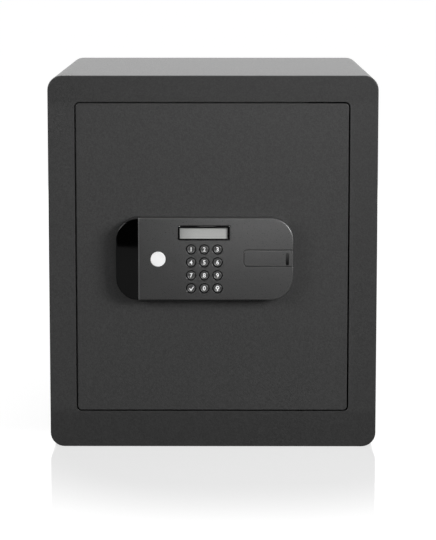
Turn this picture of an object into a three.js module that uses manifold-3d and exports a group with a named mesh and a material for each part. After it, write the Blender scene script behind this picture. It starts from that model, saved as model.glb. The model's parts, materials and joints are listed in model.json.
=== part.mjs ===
// Office safe: welded body, hinged door, motorised bolt work with key override, keypad unit.
// Millimetres. X is right as seen from the front, Y runs front to back, Z is up.
// The origin is the centre of the underside of the body. At rest the door is shut and
// the bolts are drawn back.
import * as THREE from 'three';
import { mergeVertices } from 'three/addons/utils/BufferGeometryUtils.js';
import Module from 'manifold-3d';

const wasm = await Module();
wasm.setup();

// Body
const BODY_W = 350;
const BODY_H = 400;
const BODY_D = 340;
const BODY_R = 15; // outer radius of the four long edges
const EDGE_R = 1.2; // rounding of the front and back rims
const SHEET = 3; // steel of the shell, the front frame and the back panel
const ANCHOR_R = 6.5;
const ANCHOR_SPACING = 160;
const FLOOR_ANCHOR_IN = 140; // from the back
const WALL_ANCHOR_DROP = 100; // from the top
const FRONT = -BODY_D / 2;
const BACK = BODY_D / 2;
const FRAME_BACK = FRONT + SHEET;
const BACK_IN = BACK - SHEET;
const WALL_IN = BODY_W / 2 - SHEET;

// Front frame: widths of its four borders round the door opening
const BORDER_LEFT = 28.3;
const BORDER_RIGHT = 29.7;
const BORDER_TOP = 27.8;
const BORDER_BOTTOM = 38.7;
const OPENING = {
  x0: -BODY_W / 2 + BORDER_LEFT, x1: BODY_W / 2 - BORDER_RIGHT,
  z0: BORDER_BOTTOM, z1: BODY_H - BORDER_TOP,
};
const MID_X = (OPENING.x0 + OPENING.x1) / 2;
const MID_Z = (OPENING.z0 + OPENING.z1) / 2;

// Door plate
const DOOR_T = 5;
const DOOR_R = 4;
const DOOR_EDGE = 0.7;
const DOOR_GAP = 1.5;
const CABLE_HOLE_R = 5;
const DOOR_BACK = FRONT + DOOR_T;

// Jamb: the four walls behind the front frame, with a pocket on the hinge side
const JAMB_T = 2.5;
const JAMB_D = 40;
const JAMB_POCKET = 4;
const JAMB = { ...OPENING, x1: OPENING.x1 + JAMB_POCKET };
const JAMB_TOP = JAMB.z1 + JAMB_T;
const JAMB_BOTTOM = JAMB.z0 - JAMB_T;

// Hinge, hidden behind the door
const HINGE_IN = 25.8; // from the door's right edge to the pins
const HINGE_SET = 11; // from the door's face to the pins
const HINGE_X = OPENING.x1 - DOOR_GAP - HINGE_IN;
const HINGE_Y = FRONT + HINGE_SET;
const PIN_R = 4;
const PIN_FIT = 0.3;
const PIN_L = 15;
const PIN_TIP = 1;
const ARM_IN = 12; // from the pins to the arm's left and right side
const ARM_OUT = 9;
const ARM_H = 30;
const ARM_WALL = 2.5;
const ARM_END_GAP = 1.2; // from the arm's end to the door's edge
const SOCKET_H = 13;
const SOCKET_HALF = 10;
const SOCKET_WALL = 6;
const SOCKET_FLOOR = 2;

// Door stop: a strip in the jamb that ends beside the hinge arms
const STOP_W = 7;
const STOP_T = 4;
const STOP_GAP = 1.5;
const STOP_END_GAP = 6;

// Bolt work: carrier and bolts lie CARRIER_GAP behind the door plate
const BOLT_R = 10;
const BOLT_L = 49;
const BOLT_TIP = 1.2;
const BOLT_SPACING = 150;
const BOLT_PROUD = 1; // of the housing when drawn back
const BOLT_HOLE_FIT = 1;
const BOLT_TRAVEL = 20;
const BUSH_FLANGE = 4;
const BUSH_WALL = 2.5;
const BUSH_L = 8;
const BUSH_FLANGE_T = 2;
const BUSH_FIT = 0.3;
const CARRIER_GAP = 7;
const CARRIER_T = 4;
const CARRIER_END = 8; // beyond each bolt
const CARRIER_Y0 = DOOR_BACK + CARRIER_GAP;
const BOLT_Y = CARRIER_Y0 + BOLT_R;
const CARRIER_Y1 = BOLT_Y + BOLT_R;
const BOLT_ZS = { upper: MID_Z + BOLT_SPACING / 2, lower: MID_Z - BOLT_SPACING / 2 };

// Housing of the bolt work, a frame welded to the door plate
const HOUSING_T = 2;
const HOUSING_SIDE_GAP = 3.7; // to the stop strip
const HOUSING_END_GAP = 10.3;
const HOUSING_HINGE_GAP = 4;
const HOUSING_ROOM = 5; // behind the bolts
const RETURN_W = 12;
const HOUSING = {
  x0: OPENING.x0 + STOP_W + HOUSING_SIDE_GAP, x1: HINGE_X - ARM_IN - HOUSING_HINGE_GAP,
  z0: OPENING.z0 + STOP_W + HOUSING_END_GAP, z1: OPENING.z1 - STOP_W - HOUSING_END_GAP,
};
const HOUSING_Y1 = CARRIER_Y1 + HOUSING_ROOM + HOUSING_T;
const BOLT_X0 = HOUSING.x0 - BOLT_PROUD;
const BOLT_X1 = BOLT_X0 + BOLT_L;
const SCREW_R = 1.8;
const SCREW_FIT = 0.3;
const SCREW_HEAD_R = 3.6;
const SCREW_HEAD_H = 2;
const SCREW_L = 12;
const SCREW_IN = 7; // from the housing's edges

// Keypad unit on the door
const UNIT_W = 187.5;
const UNIT_H = 87.6;
const UNIT_D = 17;
const UNIT_R = 23.5;
const UNIT_EDGE = 1;
const UNIT_X = MID_X - 8.05;
const UNIT_Z = MID_Z + 1.35;
const UNIT = {
  x0: UNIT_X - UNIT_W / 2, x1: UNIT_X + UNIT_W / 2, z0: UNIT_Z - UNIT_H / 2, z1: UNIT_Z + UNIT_H / 2,
};
const UNIT_FRONT = FRONT - UNIT_D;
const END_W = 23.5; // gloss end piece
const STRIP_W = 1.4;
const BADGE_LEFT = 49.3; // of the unit's middle
const BADGE_R = 8;
const BADGE_FIT = 0.5;
const BADGE_DEPTH = 0.8;
const BADGE_PROUD = 0.4;

// Keys: caps with a flange behind a shoulder in the housing, on a rubber mat
const KEY_NAMES = [
  ['key_1', 'key_2', 'key_3'],
  ['key_4', 'key_5', 'key_6'],
  ['key_7', 'key_8', 'key_9'],
  ['key_confirm', 'key_0', 'key_lock'],
];
const KEY_PITCH_X = 14;
const KEY_PITCH_Z = 13.87;
const KEYS_X = UNIT_X - 0.35; // middle column
const KEYS_Z = UNIT_Z - 10.45; // middle of the four rows
const KEY_R = 4.95;
const KEY_GAP = 0.65;
const KEY_FLANGE = 1.25;
const KEY_FLANGE_T = 1.2;
const KEY_FLANGE_FIT = 0.35;
const KEY_PROUD = 0.7;
const KEY_RIM = 0.9;
const KEY_DISH = 0.35;
const KEY_EDGE = 0.25;
const KEY_SHOULDER = UNIT_FRONT + 2.5;
const CAVITY_Y0 = UNIT_FRONT + 6;
const CAVITY_MARGIN = 3; // beyond the keys' wells
const MAT_FIT = 0.4;
const KEY_MAT_T = 2;
const NUB_R = 2.2;
const NUB_H = 1.2;
const NUB_ROOT = 0.5;
const BOARD_T = 1.6;

// Display
const DISPLAY_W = 56.2;
const DISPLAY_H = 16;
const DISPLAY_UP = 28.15; // above the unit's middle
const DISPLAY_RIGHT = 0.15; // of the keys' middle column
const DISPLAY_R = 1.2;
const DISPLAY_RIM = { left: 2.05, right: 3.75, below: 1.75, above: 2.8 };
const DISPLAY_DEPTH = 2.5;
const DISPLAY_FIT = 0.15;
const WINDOW_SET = 1.7; // below the bezel's face

// Sliding cover over the emergency lock, open to the unit's right end
const SLIDE_L = 52.5;
const SLIDE_H = 18;
const SLIDE_R = 4;
const SLIDE_DEPTH = 4;
const SLIDE_FIT = 0.35;
const SLIDE_EDGE = 0.4;
const SLIDE_Z = UNIT_Z + 0.85;
const SLIDE_FLOOR = UNIT_FRONT + SLIDE_DEPTH;
const TONGUE_W = 1.5;
const TONGUE_T = 1.7;
const TONGUE_FIT = 0.2;
const GRIP_IN = 4.6; // from the unit's right end
const GRIP_W = 3.3;
const GRIP_H = 13.1;
const GRIP_DOWN = 0.8; // below the cover's middle
const GRIP_DEPTH = 1.8;

// Emergency lock: its lever sweeps a quarter turn and moves the carrier's lug
const LOCK_IN = 8.2; // from the left end of the cover's recess
const LOCK_X = UNIT.x1 - SLIDE_L + LOCK_IN;
const LOCK_Z = SLIDE_Z;
const LOCK_R = 7;
const LOCK_FIT = 0.4;
const LOCK_FLANGE_R = 9.5;
const LOCK_FLANGE_T = 3;
const LOCK_NUT_T = 2.5;
const LOCK_TAIL = 4; // behind the door plate
const PLUG_R = 4.8;
const PLUG_FIT = 0.3;
const PLUG_SET = 0.4;
const SPINDLE_R = 2.6;
const KEYWAY_W = 1.6;
const KEYWAY_H = 6.4;
const KEYWAY_D = 6;
const LEVER_REACH = 20;
const LEVER_W = 5;
const LEVER_T = 4;
const LEVER_HUB_R = 6;
const LEVER_GAP = 2; // to the rack arm in front of it
const LEVER_FIT = 0.5;
const LEVER_REST = 50 * Math.PI / 180; // left of straight down; the other end is a quarter turn on
const LUG_R = 3;
const LUG_DROP = 10.65;
const LUG_Z = LOCK_Z - LUG_DROP;
const LUG_X = LOCK_X + LUG_DROP / Math.tan(LEVER_REST)
  + (LEVER_W / 2 + LUG_R) / Math.sin(LEVER_REST) + LEVER_FIT;

// Rack arm, pinion and gear motor
const ARM_T = 5;
const RACK_ARM_H = 16;
const RACK_DROP = 2.6; // pitch line below the lock
const RACK_Z = LOCK_Z - RACK_DROP;
const ARM_TOP_DROP = 2; // plain top of the arm below the pitch line
const ARM_TOP = RACK_Z - ARM_TOP_DROP;
const ARM_BOTTOM = ARM_TOP - RACK_ARM_H;
const ARM_Y1 = CARRIER_Y0 + ARM_T;
const LEVER_Y0 = ARM_Y1 + LEVER_GAP;
const ARM_LUG_END = 4.4; // beyond the lug
const STUD_R = 4;
const STUD_FIT = 0.4;
const STUD_FOOT_R = 7;
const STUD_HEAD_R = 6.5;
const STUD_HEAD_T = 2;
const STUD_LEFT_IN = 8; // from the carrier
const STUD_RIGHT_IN = 36; // left of the lock
const GEAR_MODULE = 1;
const GEAR_TEETH = 18;
const GEAR_R = GEAR_MODULE * GEAR_TEETH / 2;
const GEAR_LEFT = 78; // of the lock
const GEAR_X = LOCK_X - GEAR_LEFT;
const GEAR_FIT = 0.12;
const GEAR_Z = RACK_Z + GEAR_R + GEAR_FIT;
const GEAR_BACKLASH = 0.3;
const GEAR_ANGLE = Math.PI / 9;
const GEAR_HUB_R = 5;
const TOOTH_TIP = 0.95; // in modules
const TOOTH_ROOT = 1.25;
const SPARE_TEETH = 4; // beyond the pinion at each end of the travel
const GEARBOX_GAP = 3; // behind the rack arm
const GEARBOX_T = 14;
const GEARBOX_W = 22;
const GEARBOX_CLEAR = 4.8; // above the pinion
const GEARBOX_DROP = 1.5; // below the pitch line
const GEARBOX_Y0 = ARM_Y1 + GEARBOX_GAP;
const GEARBOX_Y1 = GEARBOX_Y0 + GEARBOX_T;
const GEARBOX_Z0 = RACK_Z - GEARBOX_DROP;
const GEARBOX_Z1 = GEAR_Z + GEAR_R + GEARBOX_CLEAR;
const SHAFT_R = 2.5;
const SHAFT_L = 8;
const SHAFT_FIT = 0.3;
const MOTOR_R = 6;
const MOTOR_L = 28;
const MOTOR_CAP_R = 4;
const MOTOR_CAP_L = 2;
const BRACKET_T = 2.5;
const BRACKET_H = 24;
const BRACKET_HOLE_R = 1.8;
const BRACKET_HOLE_X = 6;
const BRACKET_HOLE_UP = 14;

// Inner cover with battery bay and setting button
const COVER_T = 3;
const COVER_R = 6;
const COVER_EDGE = 1;
const COVER_Y1 = HOUSING_Y1 + COVER_T;
const CELL_R = 7.1;
const CELL_L = 50;
const CELL_CAP_R = 2.7;
const CELL_CAP_L = 1;
const CELL_EDGE = 0.5;
const CELL_GAP = 1.3; // between cells
const CELL_END_GAP = 1.5;
const CELL_FIT = 0.3;
const CELL_ROOM = 3.5;
const CELLS = 4;
const BAY_WALL = 2;
const BAY_FLANGE = 3;
const BAY_FLANGE_T = 2;
const BAY_IN = 102; // from the housing's hinge side to the bay's middle
const BAY_UP = 26;
const BAY_Y0 = HOUSING_Y1 - CELL_ROOM - 2 * CELL_R - CELL_FIT;
const BAY_X = HOUSING.x1 - BAY_IN;
const BAY = {
  x0: BAY_X - CELL_L / 2 - CELL_END_GAP, x1: BAY_X + CELL_L / 2 + CELL_END_GAP,
  z0: HOUSING.z0 + BAY_UP, z1: HOUSING.z0 + BAY_UP + CELLS * (2 * CELL_R + CELL_GAP),
};
const LID_LAP = 5.5;
const LID_T = 2.4;
const LID_FIT = 0.4;
const LID_TRAVEL = 60;
const LID = { x0: BAY.x0 - LID_LAP, x1: BAY.x1 + LID_LAP, z0: BAY.z0 - LID_LAP, z1: BAY.z1 + LID_LAP };
const LID_RAIL_W = 3;
const LID_RAIL_LIP = 2.6;
const LID_RAIL_T = 1.6;
const LID_GRIP_H = 26;
const LID_GRIP_W = 2;
const LID_GRIP_DEPTH = 0.8;
const LID_GRIPS = 3;
const BUTTON_R = 4;
const BUTTON_FLANGE_R = 6;
const BUTTON_FLANGE_T = 2.4;
const BUTTON_FIT = 0.3;
const BUTTON_PROUD = 1.6;
const BUTTON_IN = 42; // from the housing's hinge side
const BUTTON_DROP = 55; // from the housing's top
const BUTTON_X = HOUSING.x1 - BUTTON_IN;
const BUTTON_Z = HOUSING.z1 - BUTTON_DROP;

// Shelf on two rails, and the mat on the floor
const SHELF_Z = 205; // underside
const SHELF_T = 2;
const SHELF_SIDE_GAP = 4;
const SHELF_FRONT_IN = 58;
const SHELF_BACK_GAP = 7;
const SHELF_LIP = 17;
const RAIL_W = 14;
const RAIL_H = 20;
const RAIL_T = 2.5;
const RAIL_IN = 9; // from the shelf's front and back edges
const MAT_T = 3;
const MAT_R = 6;
const MAT_FRONT_IN = 50;
const MAT_GAP = 4;
const MAT_HOLE_EXTRA = 3;

// Colours as [colour, roughness, metalness]
const PAINT = [0x434347, 0.55, 0.3];
const KEYPAD_PLASTIC = [0x3f3f42, 0.5, 0];
const GLOSS_BLACK = [0x0a0a0b, 0.12, 0];
const SILVER = [0xb9bbbe, 0.35, 0.8];
const WHITE = [0xf2f2f0, 0.4, 0];
const BLACK_PLASTIC = [0x17171a, 0.45, 0];
const KEY_PLASTIC = [0x39393c, 0.4, 0];
const LCD_GLASS = [0xaab0a8, 0.2, 0];
const STEEL = [0xb4b6b8, 0.35, 0.9];
const ZINC = [0xa7a59a, 0.45, 0.85];
const BRASS = [0xb8923f, 0.35, 0.9];
const FELT = [0x4c4e52, 0.95, 0];
const RUBBER = [0x5a5b5e, 0.8, 0];
const BOARD = [0x1f5b34, 0.6, 0];
const CELL_SKIN = [0x4f6f8f, 0.4, 0.2];
const RED_PLASTIC = [0xb02a22, 0.4, 0];

const PAST = 1; // how far a cutting body reaches past the face it opens

const assembly = new THREE.Group();

// Adds one named piece to the assembly.
function piece(name, body, [color, roughness, metalness]) {
  const { vertProperties, triVerts } = body.getMesh();
  const geometry = new THREE.BufferGeometry();
  geometry.setAttribute('position', new THREE.BufferAttribute(new Float32Array(vertProperties), 3));
  geometry.setIndex(Array.from(triVerts));
  geometry.computeVertexNormals();
  const mesh = new THREE.Mesh(geometry, new THREE.MeshStandardMaterial({ color, roughness, metalness }));
  mesh.name = name;
  assembly.add(mesh);
}

// Turns a closed three geometry into a solid for the boolean steps.
function solid(geometry) {
  const merged = mergeVertices(geometry, 1e-5);
  const ids = merged.index.array;
  const kept = [];
  for (let i = 0; i < ids.length; i += 3) {
    const [a, b, c] = [ids[i], ids[i + 1], ids[i + 2]];
    if (a !== b && b !== c && c !== a) kept.push(a, b, c);
  }
  return new wasm.Manifold(new wasm.Mesh({
    numProp: 3,
    vertProperties: new Float32Array(merged.getAttribute('position').array),
    triVerts: new Uint32Array(kept),
  }));
}

// Outlines are lists of [u, v], counter-clockwise. Along y they read as [x, z] seen from
// the front, along z as [x, -y], along x as [-y, z].
const PLACE = {
  x: (u, v, w) => [w, -u, v],
  y: (u, v, w) => [u, w, v],
  z: (u, v, w) => [u, -v, w],
};

// Skins a stack of outlines with equal point counts: sections is a list of [w, outline].
function loft(axis, sections) {
  const n = sections[0][1].length;
  const positions = [];
  const index = [];
  for (const [w, outline] of sections)
    for (const [u, v] of outline) positions.push(...PLACE[axis](u, v, w));
  for (let k = 0; k + 1 < sections.length; k++)
    for (let i = 0; i < n; i++) {
      const j = (i + 1) % n;
      const [a, b, c, d] = [k * n + i, k * n + j, (k + 1) * n + j, (k + 1) * n + i];
      index.push(a, c, b, a, d, c);
    }
  for (const [k, flip] of [[0, false], [sections.length - 1, true]]) {
    const contour = sections[k][1].map(([u, v]) => new THREE.Vector2(u, v));
    const base = k * n;
    for (const [a, b, c] of THREE.ShapeUtils.triangulateShape(contour, []))
      index.push(base + a, base + (flip ? c : b), base + (flip ? b : c));
  }
  const geometry = new THREE.BufferGeometry();
  geometry.setAttribute('position', new THREE.Float32BufferAttribute(positions, 3));
  geometry.setIndex(index);
  return solid(geometry);
}

const prism = (axis, outline, w0, w1) => loft(axis, [[w0, outline], [w1, outline]]);

function rectangle({ x0, z0, x1, z1 }, r = 0, steps = 6) {
  const corners = [[x1 - r, z1 - r], [x0 + r, z1 - r], [x0 + r, z0 + r], [x1 - r, z0 + r]];
  if (r === 0) return corners;
  return corners.flatMap(([cx, cz], quarter) =>
    Array.from({ length: steps + 1 }, (_, i) => {
      const angle = (quarter + i / steps) * Math.PI / 2;
      return [cx + r * Math.cos(angle), cz + r * Math.sin(angle)];
    }));
}

// The same rectangle, smaller by d on each side, or larger where d is negative.
const inset = ({ x0, z0, x1, z1 }, d) => ({ x0: x0 + d, z0: z0 + d, x1: x1 - d, z1: z1 - d });

const around = (x, z, w, h) => ({ x0: x - w / 2, z0: z - h / 2, x1: x + w / 2, z1: z + h / 2 });

const box = (x0, x1, y0, y1, z0, z1) => prism('y', rectangle({ x0, z0, x1, z1 }), y0, y1);

const panel = (rect, y0, y1, r = 0, steps = 4) => prism('y', rectangle(rect, r, steps), y0, y1);

function circle(u, v, r, n) {
  return Array.from({ length: n }, (_, i) => {
    const angle = 2 * Math.PI * (i + 0.5) / n;
    return [u + r * Math.cos(angle), v + r * Math.sin(angle)];
  });
}

// A turned piece about an axis through (u, v): profile is a list of [w, radius].
const turned = (axis, u, v, profile, n = 20) =>
  loft(axis, profile.map(([w, r]) => [w, circle(u, v, r, n)]));

const rod = (axis, u, v, r, w0, w1, n = 20) => turned(axis, u, v, [[w0, r], [w1, r]], n);

// Sections of a rim rounded by r: from the face at w, inset by r, to full size r further
// on. toward is 1 where the solid lies on the high side of the face, else -1.
function rim(w, toward, r, outline, steps = 2) {
  const sections = Array.from({ length: steps + 1 }, (_, i) => {
    const angle = (1 - i / steps) * Math.PI / 2;
    return [w + toward * r * (1 - Math.sin(angle)), outline(r * (1 - Math.cos(angle)))];
  });
  return toward > 0 ? sections : sections.toReversed();
}

// A slot outline from (x0, z) to (x1, z) with round ends.
function slotOutline(x0, x1, z, r, steps = 6) {
  const end = (x, start) => Array.from({ length: steps + 1 }, (_, i) => {
    const angle = start + Math.PI * i / steps;
    return [x + r * Math.cos(angle), z + r * Math.sin(angle)];
  });
  return [...end(x1, -Math.PI / 2), ...end(x0, Math.PI / 2)];
}

const union = (first, ...rest) => rest.reduce((sum, next) => sum.add(next), first);
const cut = (first, ...rest) => rest.reduce((sum, next) => sum.subtract(next), first);

const FACE = { x0: -BODY_W / 2, x1: BODY_W / 2, z0: 0, z1: BODY_H };
const bodyOutline = (d) => rectangle(inset(FACE, d), BODY_R - d, 8);
const anchorXs = [-ANCHOR_SPACING / 2, ANCHOR_SPACING / 2];
const anchorY = BACK - FLOOR_ANCHOR_IN;

function bodyPieces() {
  const outside = bodyOutline(0);
  piece('front_frame', cut(
    loft('y', [...rim(FRONT, 1, EDGE_R, bodyOutline), [FRAME_BACK, outside]]),
    panel(OPENING, FRONT - PAST, FRAME_BACK + PAST, DOOR_R + DOOR_GAP, 5),
  ), PAINT);

  piece('body_shell', cut(
    prism('y', outside, FRAME_BACK, BACK_IN),
    prism('y', bodyOutline(SHEET), FRAME_BACK - PAST, BACK_IN + PAST),
    ...anchorXs.map((x) => rod('z', x, -anchorY, ANCHOR_R, -PAST, SHEET + PAST, 16)),
  ), PAINT);

  piece('back_panel', cut(
    loft('y', [[BACK_IN, outside], ...rim(BACK, -1, EDGE_R, bodyOutline)]),
    ...anchorXs.map((x) =>
      rod('y', x, BODY_H - WALL_ANCHOR_DROP, ANCHOR_R, BACK_IN - PAST, BACK + PAST, 16)),
  ), PAINT);

  const matX = BODY_W / 2 - BODY_R - MAT_GAP;
  const floor = { x0: -matX, z0: -(BACK_IN - MAT_GAP), x1: matX, z1: -(FRONT + MAT_FRONT_IN) };
  piece('floor_mat', cut(
    prism('z', rectangle(floor, MAT_R, 4), SHEET, SHEET + MAT_T),
    ...anchorXs.map((x) =>
      rod('z', x, -anchorY, ANCHOR_R + MAT_HOLE_EXTRA, SHEET - PAST, SHEET + MAT_T + PAST, 16)),
  ), FELT);
}

function jambPieces() {
  const back = FRAME_BACK + JAMB_D;
  piece('door_jamb', cut(
    panel(inset(JAMB, -JAMB_T), FRAME_BACK, back),
    panel(JAMB, FRAME_BACK - PAST, back + PAST),
    ...Object.values(BOLT_ZS).map((z) =>
      rod('x', -BOLT_Y, z, BOLT_R + BOLT_HOLE_FIT, JAMB.x0 - JAMB_T - PAST, JAMB.x0 + PAST)),
    rod('z', HINGE_X, -HINGE_Y, PIN_R + 2 * PIN_FIT, JAMB_BOTTOM - PAST, JAMB_TOP + PAST),
  ), PAINT);

  const { x0, z0, z1 } = OPENING;
  const end = HINGE_X - ARM_IN - STOP_END_GAP;
  const y0 = DOOR_BACK + STOP_GAP;
  piece('door_stop', prism('y', [
    [x0, z0], [end, z0], [end, z0 + STOP_W], [x0 + STOP_W, z0 + STOP_W],
    [x0 + STOP_W, z1 - STOP_W], [end, z1 - STOP_W], [end, z1], [x0, z1],
  ], y0, y0 + STOP_T), PAINT);
}

// Sockets behind the frame for the pins, and the arms on the door that carry the pins.
function hingePieces() {
  const socketY1 = HINGE_Y + PIN_R + SOCKET_WALL;
  const socket = (mouth, out) => {
    const span = (a, b) => [mouth + out * a, mouth + out * b].sort((p, q) => p - q);
    return cut(
      box(HINGE_X - SOCKET_HALF, HINGE_X + SOCKET_HALF, FRAME_BACK, socketY1, ...span(0, SOCKET_H)),
      rod('z', HINGE_X, -HINGE_Y, PIN_R + PIN_FIT, ...span(-PAST, SOCKET_H - SOCKET_FLOOR)),
    );
  };
  piece('hinge_socket_upper', socket(JAMB_TOP, 1), ZINC);
  piece('hinge_socket_lower', socket(JAMB_BOTTOM, -1), ZINC);

  const arm = (z0, z1) =>
    box(HINGE_X - ARM_IN, HINGE_X + ARM_OUT, DOOR_BACK, HINGE_Y + PIN_R + ARM_WALL, z0, z1);
  const top = OPENING.z1 - DOOR_GAP - ARM_END_GAP;
  const bottom = OPENING.z0 + DOOR_GAP + ARM_END_GAP;
  const root = ARM_H / 2;
  piece('hinge_arm_upper', union(arm(top - ARM_H, top), turned('z', HINGE_X, -HINGE_Y, [
    [top - root, PIN_R], [top + PIN_L - PIN_TIP, PIN_R], [top + PIN_L, PIN_R - PIN_TIP],
  ])), ZINC);
  piece('hinge_arm_lower', union(arm(bottom, bottom + ARM_H), turned('z', HINGE_X, -HINGE_Y, [
    [bottom - PIN_L, PIN_R - PIN_TIP], [bottom - PIN_L + PIN_TIP, PIN_R], [bottom + root, PIN_R],
  ])), ZINC);
}

function screwSpots() {
  const { x0, x1, z0, z1 } = inset(HOUSING, SCREW_IN);
  return [[x0, z0], [x1, z0], [x1, z1], [x0, z1]];
}

const screwHoles = (y0, y1) => screwSpots().map(([x, z]) =>
  rod('y', x, z, SCREW_R + SCREW_FIT, y0 - PAST, y1 + PAST, 12));

function doorPieces() {
  const outline = (d) => rectangle(inset(OPENING, DOOR_GAP + d), DOOR_R - d, 5);
  piece('door_plate', cut(
    loft('y', [...rim(FRONT, 1, DOOR_EDGE, outline), [DOOR_BACK, outline(0)]]),
    rod('y', LOCK_X, LOCK_Z, LOCK_R + LOCK_FIT, FRONT - PAST, DOOR_BACK + PAST),
    rod('y', KEYS_X, KEYS_Z + 1.5 * KEY_PITCH_Z, CABLE_HOLE_R, FRONT - PAST, DOOR_BACK + PAST),
  ), PAINT);

  const returnY = HOUSING_Y1 - HOUSING_T;
  piece('bolt_housing', cut(
    panel(HOUSING, DOOR_BACK, HOUSING_Y1),
    panel(inset(HOUSING, HOUSING_T), DOOR_BACK - PAST, returnY),
    panel(inset(HOUSING, RETURN_W), returnY - PAST, HOUSING_Y1 + PAST),
    ...Object.values(BOLT_ZS).map((z) =>
      rod('x', -BOLT_Y, z, BOLT_R + BUSH_FIT, HOUSING.x0 - PAST, HOUSING.x0 + HOUSING_T + PAST)),
    ...screwHoles(returnY, HOUSING_Y1),
  ), ZINC);
}

function boltPieces() {
  const wall = HOUSING.x0 + HOUSING_T;
  const bushR = BOLT_R + BUSH_FIT + BUSH_WALL;
  for (const [side, z] of Object.entries(BOLT_ZS)) {
    piece(`bolt_${side}`, turned('x', -BOLT_Y, z, [
      [BOLT_X0, BOLT_R - BOLT_TIP], [BOLT_X0 + BOLT_TIP, BOLT_R], [BOLT_X1, BOLT_R],
    ]), STEEL);
    piece(`guide_bush_${side}`, cut(
      turned('x', -BOLT_Y, z, [
        [wall, BOLT_R + BUSH_FLANGE], [wall + BUSH_FLANGE_T, BOLT_R + BUSH_FLANGE],
        [wall + BUSH_FLANGE_T, bushR], [wall + BUSH_L, bushR],
      ]),
      rod('x', -BOLT_Y, z, BOLT_R + BUSH_FIT, wall - PAST, wall + BUSH_L + PAST),
    ), BRASS);
  }

  const face = BOLT_X1 + CARRIER_T;
  const studs = { left: face + STUD_LEFT_IN, right: LOCK_X - STUD_RIGHT_IN };
  const studZ = (ARM_TOP + ARM_BOTTOM) / 2;
  const teeth = rackTeeth();
  const rootZ = teeth[0][1];
  const toothEnd = teeth[0][0] + GEAR_MODULE;
  const armEnd = LUG_X + LUG_R + ARM_LUG_END;
  const arm = prism('y', [
    [BOLT_X1, ARM_BOTTOM], [armEnd, ARM_BOTTOM], [armEnd, ARM_TOP], [toothEnd, ARM_TOP],
    [toothEnd, rootZ], ...teeth, [BOLT_X1, rootZ],
  ], CARRIER_Y0, ARM_Y1);
  const reach = BOLT_R + CARRIER_END;
  piece('bolt_carrier', cut(
    union(
      box(BOLT_X1, face, CARRIER_Y0, CARRIER_Y1, BOLT_ZS.lower - reach, BOLT_ZS.upper + reach),
      arm,
      rod('y', LUG_X, LUG_Z, LUG_R, CARRIER_Y0, LEVER_Y0 + LEVER_T + LEVER_FIT),
    ),
    ...Object.values(studs).map((x) => prism('y',
      slotOutline(x, x + BOLT_TRAVEL, studZ, STUD_R + STUD_FIT), CARRIER_Y0 - PAST, ARM_Y1 + PAST)),
  ), ZINC);

  for (const [side, x] of Object.entries(studs)) {
    const foot = CARRIER_Y0 - STUD_FIT;
    const head = ARM_Y1 + STUD_FIT;
    piece(`guide_stud_${side}`, turned('y', x, studZ, [
      [DOOR_BACK, STUD_FOOT_R], [foot, STUD_FOOT_R], [foot, STUD_R], [head, STUD_R],
      [head, STUD_HEAD_R], [head + STUD_HEAD_T, STUD_HEAD_R - STUD_FIT],
    ], 16), STEEL);
  }
}

// Points of the toothed top edge of the rack arm, from right to left. A tooth stands below
// the pinion's middle both drawn back and thrown.
function rackTeeth() {
  const pitch = Math.PI * GEAR_MODULE;
  const tip = TOOTH_TIP * GEAR_MODULE;
  const root = TOOTH_ROOT * GEAR_MODULE;
  const half = pitch / 4 - GEAR_BACKLASH / 2;
  const slope = Math.tan(GEAR_ANGLE);
  const last = Math.ceil(BOLT_TRAVEL / pitch) + SPARE_TEETH;
  const points = [];
  for (let k = last; k >= -SPARE_TEETH; k--) {
    const x = GEAR_X + k * pitch;
    points.push(
      [x + half + root * slope, RACK_Z - root], [x + half - tip * slope, RACK_Z + tip],
      [x - half + tip * slope, RACK_Z + tip], [x - half - root * slope, RACK_Z - root],
    );
  }
  return points;
}

// Involute pinion with a gap between two teeth straight below its middle.
function gearOutline() {
  const base = GEAR_R * Math.cos(GEAR_ANGLE);
  const tip = GEAR_R + TOOTH_TIP * GEAR_MODULE;
  const root = GEAR_R - TOOTH_ROOT * GEAR_MODULE;
  const roll = (r) => {
    const angle = Math.acos(Math.min(1, base / r));
    return Math.tan(angle) - angle;
  };
  const half = Math.PI / (2 * GEAR_TEETH) - GEAR_BACKLASH / (2 * GEAR_R) + roll(GEAR_R);
  const flank = [root, base * 1.002, tip].map((r) => [r, half - roll(r)]);
  return Array.from({ length: GEAR_TEETH }, (_, k) => {
    const middle = -Math.PI / 2 + (k + 0.5) * 2 * Math.PI / GEAR_TEETH;
    const left = flank.map(([r, a]) => [r, middle - a]);
    const right = flank.toReversed().map(([r, a]) => [r, middle + a]);
    return [...left, ...right];
  }).flat().map(([r, a]) => [GEAR_X + r * Math.cos(a), GEAR_Z + r * Math.sin(a)]);
}

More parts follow.
